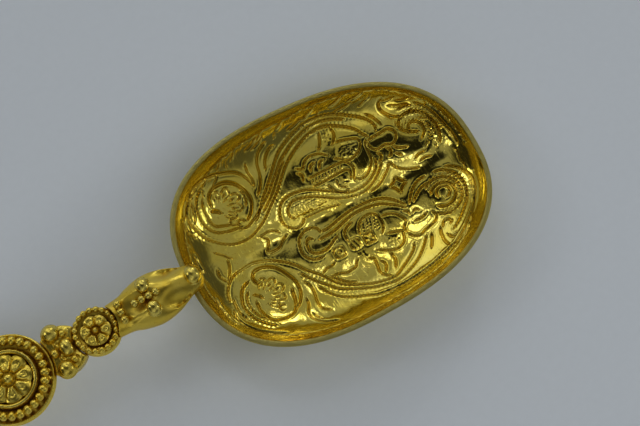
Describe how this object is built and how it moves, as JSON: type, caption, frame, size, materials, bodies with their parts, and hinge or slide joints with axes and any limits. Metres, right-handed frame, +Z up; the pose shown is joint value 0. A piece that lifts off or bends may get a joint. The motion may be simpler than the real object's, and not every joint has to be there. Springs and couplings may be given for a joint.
{
  "type": "souvenir spoon",
  "caption": "Gilt ceremonial-style souvenir spoon: broad two-lobed bowl held in a beast's mouth, roundels and pearled links, twisted shaft and flattened knop.",
  "frame": {"origin": "on the table, under the middle of the spoon's box, as it lies at rest on its two lobes and its knop", "axes": "+X towards the tip of the bowl, +Z up, +Y to the left of someone who looks along +X"},
  "size_m": [0.1532, 0.034, 0.0133],
  "materials": {
    "bowl_gilt": "polished gold plating, chased and engraved inside, fine file marks on the rim",
    "ornament_gilt": "satin gold plating, deeper in the hollows",
    "polished_gilt": "polished gold plating, worn pale on the high spots"
  },
  "bodies": {
    "root": {"bowl": "bowl_gilt", "front_beast_head": "polished_gilt", "front_eye_left": "polished_gilt", "front_eye_right": "polished_gilt", "front_nose_boss": "polished_gilt", "front_pearl_left": "polished_gilt", "front_pearl_right": "polished_gilt", "front_brow_beads": "ornament_gilt", "front_neck_beads": "ornament_gilt", "front_small_roundel": "ornament_gilt", "front_small_roundel_beading": "ornament_gilt", "front_small_rosette": "ornament_gilt", "front_link": "ornament_gilt", "front_link_dome": "ornament_gilt", "rear_beast_head": "polished_gilt", "rear_eye_left": "polished_gilt", "rear_eye_right": "polished_gilt", "rear_nose_boss": "polished_gilt", "rear_pearl_left": "polished_gilt", "rear_pearl_right": "polished_gilt", "rear_brow_beads": "ornament_gilt", "rear_neck_beads": "ornament_gilt", "rear_small_roundel": "ornament_gilt", "rear_small_roundel_beading": "ornament_gilt", "rear_small_rosette": "ornament_gilt", "rear_link": "ornament_gilt", "rear_link_dome": "ornament_gilt", "large_roundel": "ornament_gilt", "large_roundel_beading": "ornament_gilt", "large_roundel_collar": "polished_gilt", "large_rosette": "ornament_gilt", "twisted_shaft": "polished_gilt", "knop": "polished_gilt"}
  },
  "joints": []
}
